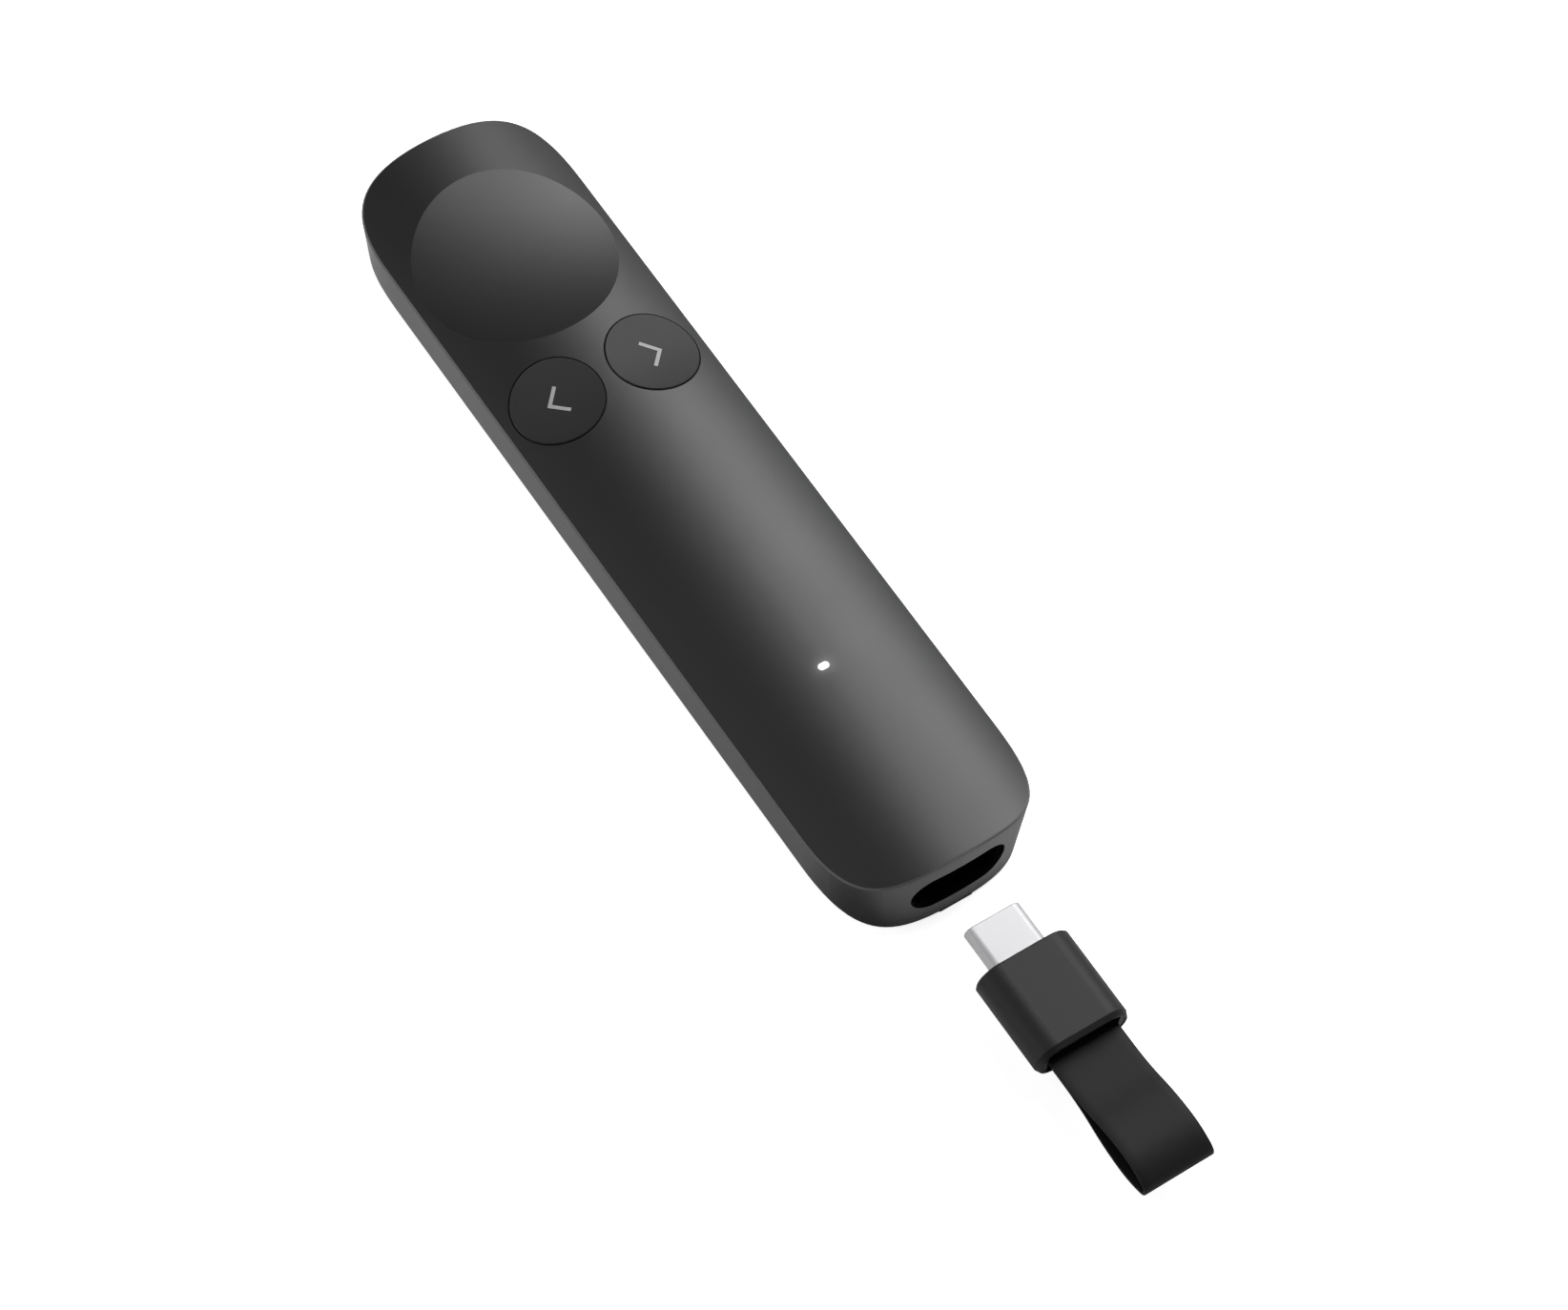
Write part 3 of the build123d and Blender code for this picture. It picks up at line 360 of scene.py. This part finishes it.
finishes = {
    "cover_satin": finish("cover_satin", (0.0110, 0.0110, 0.0112), 0.40, depth=0.0008 * MM),
    "shell_satin": finish("shell_satin", (0.0110, 0.0110, 0.0112), 0.40, depth=0.0008 * MM),
    "cap_matt": finish("cap_matt", (0.013, 0.013, 0.0132), 0.55, depth=0.0006 * MM, Specular_IOR_Level=0.42),
    "inner_plastic": finish("inner_plastic", (0.03, 0.03, 0.03), 0.5),
    "board_green": finish("board_green", (0.01, 0.07, 0.03), 0.35, tone=0.15),
    "chip_black": finish("chip_black", (0.012, 0.012, 0.012), 0.55),
    "steel": finish("steel", (0.55, 0.55, 0.55), 0.32, Metallic=1.0),
    "lamp_white": finish("lamp_white", (0.85, 0.85, 0.8), 0.3),
    "light_clear": finish("light_clear", (0.3, 0.3, 0.3), 0.3, Emission_Color=(1, 1, 1, 1), Emission_Strength=0.75),
    "film_amber": finish("film_amber", (0.32, 0.10, 0.01), 0.3),
    "cell_silver": finish("cell_silver", (0.6, 0.6, 0.62), 0.3, Metallic=1.0),
    "liner_black": finish("liner_black", (0.003, 0.003, 0.003), 0.6, Specular_IOR_Level=0.2),
    "receiver_matt": finish("receiver_matt", (0.009, 0.009, 0.0092), 0.54, depth=0.0006 * MM, Specular_IOR_Level=0.40),
    "plug_bright": finish("plug_bright", (0.62, 0.62, 0.63), 0.62, Metallic=1.0),
    "contact_gold": finish("contact_gold", (0.8, 0.5, 0.15), 0.25, Metallic=1.0),
    "strap_soft": finish("strap_soft", (0.007, 0.007, 0.0071), 0.60, depth=0.0015 * MM, Specular_IOR_Level=0.30),
}
# painted highlight along the cover's rim
paint_rim_highlight(finishes["cover_satin"], RIM_HIGHLIGHT_COLOUR)
dish_pad(finishes["cover_satin"])
light_up(finishes["cover_satin"])
for part in frame["record"]["subparts"]:
    node = frame["nodes"][part["node"]]
    node.data.materials.clear()
    node.data.materials.append(finishes[part["material_slot"]])

arrow_print = finish("arrow_print", (0.40, 0.40, 0.40), 0.5, tone=0.03)

# ---------------------------------------------------------------- pieces made here


def show(name, sketch, body, material):
    """Finished sketch as an object that rides on a body."""
    bmesh.ops.recalc_face_normals(sketch, faces=sketch.faces)
    piece = bpy.data.objects.new(name, bpy.data.meshes.new(name))
    sketch.to_mesh(piece.data)
    sketch.free()
    piece.data.materials.append(material)
    bpy.context.scene.collection.objects.link(piece)
    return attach(piece, body)


def hollow_at(x, y):
    """Depth of the finger hollow under a cap's crown, the same for both caps."""
    square = ((x - BUTTON_X) ** 2 + (abs(y) - BUTTON_Y) ** 2) / CAP_FACE_RADIUS**2
    return CAP_HOLLOW * max(0.0, 1 - square)


def cap_face_z(x, y):
    """Height of a cap's hollowed face."""
    return CROWN_AXIS_Z + math.sqrt((CROWN_RADIUS + CAP_PROUD) ** 2 - y**2) - hollow_at(x, y)


def hollowed_cap(node, side):
    """Copy of a button cap whose top face is sunk into a finger hollow."""
    sketch = bmesh.new()
    sketch.from_mesh(frame["nodes"][node].data)
    bmesh.ops.remove_doubles(sketch, verts=sketch.verts, dist=MERGE_WITHIN)
    for step in range(-CAP_CUTS, CAP_CUTS + 1):
        for normal, middle in (((1, 0, 0), BUTTON_X), ((0, 1, 0), side * BUTTON_Y)):
            spot = Vector(normal) * (middle + step * CAP_CUT_STEP)
            everything = sketch.verts[:] + sketch.edges[:] + sketch.faces[:]
            bmesh.ops.bisect_plane(sketch, geom=everything, plane_co=spot, plane_no=normal)
    for vert in sketch.verts:
        face_z = cap_face_z(vert.co.x, vert.co.y)
        if vert.co.z > face_z + hollow_at(vert.co.x, vert.co.y) - CAP_FACE_BAND:
            vert.co.z = face_z
    for edge in sketch.edges:
        edge.smooth = edge.calc_face_angle(0) < SMOOTH_BELOW
    for face in sketch.faces:
        face.smooth = True
    return sketch


for name, side in (("back", -1), ("forward", 1)):
    body = f"{name}_button"
    cap = show(f"{name}_cap", hollowed_cap(f"{body}_cap", side), body, finishes["cap_matt"])
    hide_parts(f"{body}_cap")


def arrow(side):
    """Printed arrow of two strokes that points outwards, laid on the crown of its cap."""
    length = math.hypot(ARROW_HALF_SPREAD, ARROW_REACH)
    across = Vector((ARROW_REACH, ARROW_HALF_SPREAD)) / length * (ARROW_STROKE / 2)
    miter = ARROW_STROKE / 2 * length / ARROW_HALF_SPREAD
    foot = Vector((ARROW_HALF_SPREAD, ARROW_TIP - ARROW_REACH))
    right = [foot + across, foot - across]
    corners = [Vector((0, ARROW_TIP + miter)), *right, Vector((0, ARROW_TIP - miter))]
    corners += [Vector((-spot.x, spot.y)) for spot in reversed(right)]
    sketch = bmesh.new()
    sketch.faces.new([sketch.verts.new((BUTTON_X + spot.x, side * spot.y, 0)) for spot in corners])
    for step in range(1, PRINT_STRIPS + 1):
        level = side * (ARROW_TIP - ARROW_REACH + step * ARROW_REACH / PRINT_STRIPS)
        everything = sketch.verts[:] + sketch.edges[:] + sketch.faces[:]
        bmesh.ops.bisect_plane(sketch, geom=everything, plane_co=(0, level, 0), plane_no=(0, 1, 0))
    made = bmesh.ops.extrude_face_region(sketch, geom=sketch.faces[:])
    upper = {part for part in made["geom"] if isinstance(part, bmesh.types.BMVert)}
    for vert in sketch.verts:
        vert.co.z = cap_face_z(vert.co.x, vert.co.y) + (PRINT_THICKNESS if vert in upper else -PRINT_ROOT)
    return sketch


show("back_arrow", arrow(-1), "back_button", arrow_print)
show("forward_arrow", arrow(1), "forward_button", arrow_print)


def cheek(side):
    """Fills the receiver's open back beside the band, flush with its rounded end and softly edged."""
    half_width, half_height = CAVITY_HALF
    radius = half_height - CHEEK_FIT
    middle = Vector((BACK_X - CHEEK_SINK - CHEEK_LENGTH / 2, side * (half_width - half_height), SLOT_MID_Z))
    turned = Matrix.Translation(middle) @ Matrix.Rotation(math.pi / 2, 4, "Y")
    sketch = bmesh.new()
    bmesh.ops.create_cone(
        sketch, cap_ends=True, segments=64, radius1=radius, radius2=radius, depth=CHEEK_LENGTH, matrix=turned
    )
    everything = sketch.verts[:] + sketch.edges[:] + sketch.faces[:]
    bmesh.ops.bisect_plane(
        sketch, geom=everything, plane_co=(0, side * CHEEK_START_Y, 0), plane_no=(0, side, 0), clear_inner=True
    )
    open_edges = [edge for edge in sketch.edges if len(edge.link_faces) == 1]
    bmesh.ops.edgenet_fill(sketch, edges=open_edges)
    sharp = [edge for edge in sketch.edges if edge.calc_face_angle(0) > SHARP_ABOVE]
    bmesh.ops.bevel(
        sketch, geom=sharp, offset=CHEEK_EDGE, affect="EDGES", segments=3, profile=0.5, material=-1, clamp_overlap=True
    )
    return sketch


show("receiver_cheek_left", cheek(-1), "receiver", finishes["receiver_matt"])
show("receiver_cheek_right", cheek(1), "receiver", finishes["receiver_matt"])


def notch_shade_fill():
    """Near-black block that fills the finger notch under the slot: painted shade that darkens the notch."""
    low, high = (Vector(corner) for corner in NOTCH_SHADE_FILL)
    size = high - low
    sketch = bmesh.new()
    scaled = Matrix.Translation((low + high) / 2) @ Matrix.Diagonal((*size, 1))
    bmesh.ops.create_cube(sketch, size=1, matrix=scaled)
    bmesh.ops.bevel(
        sketch, geom=sketch.edges[:], offset=NOTCH_EDGE, affect="EDGES", segments=3, profile=0.5, material=-1
    )
    return sketch


# painted shade in the finger notch
show("notch_shade_fill", notch_shade_fill(), "handset", finishes["liner_black"])


class BandRun:
    """Row of points across the band, swept along its route in stretches."""

    def __init__(self, start):
        self.sketch = bmesh.new()
        half = BAND_WIDTH / 2
        ends = [self.sketch.verts.new((start[0], side * half, start[1])) for side in (-1, 1)]
        bmesh.ops.subdivide_edges(self.sketch, edges=[self.sketch.edges.new(ends)], cuts=7)
        self.front = self.sketch.verts[:] + self.sketch.edges[:]

    def straight(self, run_x, steps=4):
        for _ in range(steps):
            row = [part for part in self.front if isinstance(part, bmesh.types.BMEdge)]
            made = bmesh.ops.extrude_edge_only(self.sketch, edges=row)["geom"]
            ahead = [part for part in made if isinstance(part, bmesh.types.BMVert)]
            edges = [part for part in made if isinstance(part, bmesh.types.BMEdge)]
            self.front = ahead + [edge for edge in edges if all(vert in ahead for vert in edge.verts)]
            bmesh.ops.translate(self.sketch, verts=ahead, vec=(run_x / steps, 0, 0))

    def bend(self, centre_x, centre_z, degrees, steps):
        """Turns about an axis across the band, clockwise when seen from its left side."""
        made = bmesh.ops.spin(
            self.sketch,
            geom=self.front,
            cent=(centre_x, 0, centre_z),
            axis=(0, 1, 0),
            dvec=(0, 0, 0),
            angle=math.radians(degrees),
            steps=steps,
        )
        self.front = made["geom_last"]


def wrist_band():
    """Band round the pin and out of the receiver, whose two layers part into a soft teardrop."""
    half = BAND_PITCH / 2
    mid = SLOT_MID_Z
    join_x = BACK_X + BAND_JOIN
    belly = BAND_BELLY / 2
    belly_x = BACK_X + BAND_REACH - BAND_BELLY_TO_TIP
    tip_x = BACK_X + BAND_REACH - BAND_TIP_RADIUS
    swell_run = belly_x - join_x
    rise = belly - BAND_PITCH
    swell = (swell_run**2 + rise**2) / (4 * rise)
    swell_turn = math.degrees(math.asin(swell_run / 2 / swell))
    fall = ((tip_x - belly_x) ** 2 + belly**2 - BAND_TIP_RADIUS**2) / (2 * (belly - BAND_TIP_RADIUS))
    fall_turn = math.degrees(math.asin((tip_x - belly_x) / (fall - BAND_TIP_RADIUS)))
    drop = PIN_LOOP_RADIUS - half
    neck_turn = 2 * math.degrees(math.atan2(drop, NECK_RUN))
    neck = NECK_RUN / (2 * math.sin(math.radians(neck_turn)))
    band = BandRun((PIN_X, mid - PIN_LOOP_RADIUS))
    band.bend(PIN_X, mid, 180, 20)
    band.bend(PIN_X, mid + PIN_LOOP_RADIUS - neck, neck_turn, 6)
    band.bend(PIN_X + NECK_RUN, mid + half + neck, -neck_turn, 6)
    band.straight(join_x - PIN_X - NECK_RUN)
    band.bend(join_x, mid + BAND_PITCH + swell, -swell_turn, 12)
    band.bend(belly_x, mid + belly - swell, swell_turn, 12)
    band.bend(belly_x, mid + belly - fall, fall_turn, 10)
    band.bend(tip_x, mid, 2 * (90 - fall_turn), 16)
    band.bend(belly_x, mid - belly + fall, fall_turn, 10)
    band.bend(belly_x, mid - belly + swell, swell_turn, 12)
    band.bend(join_x, mid - BAND_PITCH - swell, -swell_turn, 12)
    band.straight(PIN_X + NECK_RUN - join_x)
    band.bend(PIN_X + NECK_RUN, mid - half - neck, -neck_turn, 6)
    band.bend(PIN_X, mid - PIN_LOOP_RADIUS + neck, neck_turn, 6)
    bmesh.ops.remove_doubles(band.sketch, verts=band.sketch.verts, dist=BAND_THICKNESS / 40)
    return band.sketch


def finish_edges(piece, thickness, width):
    """Thickness and softly rounded edges for a piece that is a sheet so far."""
    wall = piece.modifiers.new("wall", "SOLIDIFY")
    wall.thickness = thickness
    wall.offset = 0.0
    wall.use_even_offset = True
    soften = piece.modifiers.new("soften", "BEVEL")
    soften.width = width
    soften.segments = 2
    soften.limit_method = "ANGLE"
    soften.angle_limit = SOFTEN_ABOVE
    for face in piece.data.polygons:
        face.use_smooth = True


wrist_loop = show("wrist_loop", wrist_band(), "receiver", finishes["strap_soft"])
finish_edges(wrist_loop, BAND_THICKNESS, BAND_EDGE)
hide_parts("wrist_strap")

# ---------------------------------------------------------------- stage


def soft_lamp(name, direction, side, power):
    """Square lamp that lies in the given direction from the middle of the handset and faces it."""
    lamp = bpy.data.objects.new(name, bpy.data.lights.new(name, "AREA"))
    lamp.data.size = side
    lamp.data.energy = power
    lamp.location = direction * LAMP_DISTANCE
    lamp.rotation_mode = "QUATERNION"
    lamp.rotation_quaternion = direction.to_track_quat("Z", "Y")
    bpy.context.scene.collection.objects.link(lamp)


def towards(azimuth, elevation):
    turn = math.radians(azimuth)
    lift = math.radians(elevation)
    return Vector((math.cos(turn) * math.cos(lift), math.sin(turn) * math.cos(lift), math.sin(lift)))


LAMP_DISTANCE = 0.6  # metres
LAMPS = (  # azimuth, elevation, side in metres, power
    (100, 42, 0.14, 0.674),
    (115, 42, 0.14, 0.431),
    (130, 42, 0.14, 0.400),
    (115, 30, 0.14, 0.163),
    (100, 30, 0.14, 0.056),
    (115, 54, 0.14, 0.14),
    (130, 54, 0.14, 0.36),
    (115, 66, 0.14, 0.14),
    (130, 66, 0.14, 0.08),
    (230, 35, 0.25, 0.143),
    (225, 58, 0.25, 0.100),
    (270, 58, 0.25, 0.196),
    (95, 72, 0.14, 0.65),
    (20, 22, 0.25, 0.25),
    (246, 18, 0.25, 0.7),
)
for azimuth, elevation, side, power in LAMPS:
    soft_lamp(f"lamp_{azimuth}_{elevation}", towards(azimuth, elevation), side, power)

FLOOR_HALF = 3.0
FLOOR_GLOW = (0.86, 1.0)  # what the paper adds where it is looked at, round the object and far from it
FLOOR_GLOW_REACH = (0.16, 0.45)
FLOOR_COLOUR = (0.85, 0.85, 0.85)
FLOOR_SHEEN = (  # X in mm, and what the paper adds in reflections there
    (-45, 0.56),
    (10, 0.44),
    (48, 0.30),
    (56, 0.0),
    (61, 0.0),
    (66, 0.45),
    (76, 0.30),
    (92, 0.10),
)
SHEEN_START_Y = (-25 * MM, -17 * MM)  # over which that sets in; from there it goes on to the right
floor = bpy.data.objects.new("floor", bpy.data.meshes.new("floor"))
sketch = bmesh.new()
bmesh.ops.create_grid(sketch, x_segments=1, y_segments=1, size=FLOOR_HALF)
sketch.to_mesh(floor.data)
sketch.free()
bpy.context.scene.collection.objects.link(floor)


def floor_sheen(tree, x, y):
    """What the paper adds in reflections, by place."""
    start, stop = FLOOR_SHEEN[0][0], FLOOR_SHEEN[-1][0]
    share = math_node(tree, "DIVIDE", math_node(tree, "SUBTRACT", x, start * MM), (stop - start) * MM)
    fade = tree.nodes.new("ShaderNodeValToRGB")
    tree.links.new(share, fade.inputs["Fac"])
    for along, _ in FLOOR_SHEEN[1:-1]:
        fade.color_ramp.elements.new((along - start) / (stop - start))
    for mark, (_, level) in zip(fade.color_ramp.elements, FLOOR_SHEEN):
        mark.color = (level, level, level, 1)
    return math_node(tree, "MULTIPLY", fade.outputs[0], map_range(tree, y, SHEEN_START_Y, (0.0, 1.0)))


def floor_paper():
    """Pale paper that the camera sees as white, less the object's shadow."""
    material = bpy.data.materials.new("floor_paper")
    material.use_nodes = True
    tree = material.node_tree
    bsdf = tree.nodes["Principled BSDF"]
    bsdf.inputs["Base Color"].default_value = (*FLOOR_COLOUR, 1)
    bsdf.inputs["Roughness"].default_value = 1.0
    bsdf.inputs["Specular IOR Level"].default_value = 0.0
    where = tree.nodes.new("ShaderNodeTexCoord")
    away = tree.nodes.new("ShaderNodeVectorMath")
    away.operation = "LENGTH"
    tree.links.new(where.outputs["Object"], away.inputs[0])
    lift = map_range(tree, away.outputs["Value"], FLOOR_GLOW_REACH, FLOOR_GLOW)
    rays = tree.nodes.new("ShaderNodeLightPath")
    seen = math_node(tree, "ADD", rays.outputs["Is Camera Ray"], rays.outputs["Is Transmission Ray"])
    seen = math_node(tree, "MULTIPLY", seen, lift)
    x, y, _ = place(tree)
    mirrored = math_node(tree, "MULTIPLY", rays.outputs["Is Glossy Ray"], floor_sheen(tree, x, y))
    glow = tree.nodes.new("ShaderNodeEmission")
    tree.links.new(math_node(tree, "ADD", seen, mirrored), glow.inputs["Strength"])
    both = tree.nodes.new("ShaderNodeAddShader")
    tree.links.new(bsdf.outputs[0], both.inputs[0])
    tree.links.new(glow.outputs[0], both.inputs[1])
    tree.links.new(both.outputs[0], tree.nodes["Material Output"].inputs["Surface"])
    return material


floor.data.materials.append(floor_paper())

TENT_DIM = 0.5  # at the horizon
TENT_DARK_Z = 0.3  # from which height of a view direction it gives no light


def light_tent(tree):
    """White where it is looked at, otherwise a dim glow low down and none overhead."""
    sky = tree.nodes["Background"]
    sky.inputs["Color"].default_value = (1, 1, 1, 1)
    where = tree.nodes.new("ShaderNodeTexCoord")
    parts = tree.nodes.new("ShaderNodeSeparateXYZ")
    tree.links.new(where.outputs["Generated"], parts.inputs[0])
    dim = map_range(tree, parts.outputs["Z"], (0.0, TENT_DARK_Z), (TENT_DIM, 0.0))
    rays = tree.nodes.new("ShaderNodeLightPath")
    tree.links.new(math_node(tree, "MAXIMUM", dim, rays.outputs["Is Camera Ray"]), sky.inputs["Strength"])


world = bpy.data.worlds.new("studio")
bpy.context.scene.world = world
world.use_nodes = True
light_tent(world.node_tree)
bpy.context.scene.view_settings.view_transform = "Standard"

# ---------------------------------------------------------------- camera

LENS = 109.45
CAMERA_AT = Vector((255.34, -192.61, 526.0)) * MM
CAMERA_AIM = Vector((24.837, -1.116, 6.55)) * MM
CAMERA_ROLL = math.radians(7.2406)

camera = bpy.data.objects.new("camera", bpy.data.cameras.new("camera"))
camera.data.lens = LENS
camera.data.sensor_width = 36.0
camera.data.clip_start = 0.01
camera.location = CAMERA_AT
look = (CAMERA_AIM - CAMERA_AT).to_track_quat("-Z", "Y").to_matrix()
camera.rotation_mode = "QUATERNION"
camera.rotation_quaternion = (look @ Matrix.Rotation(CAMERA_ROLL, 3, "Z")).to_quaternion()
bpy.context.scene.collection.objects.link(camera)
bpy.context.scene.camera = camera
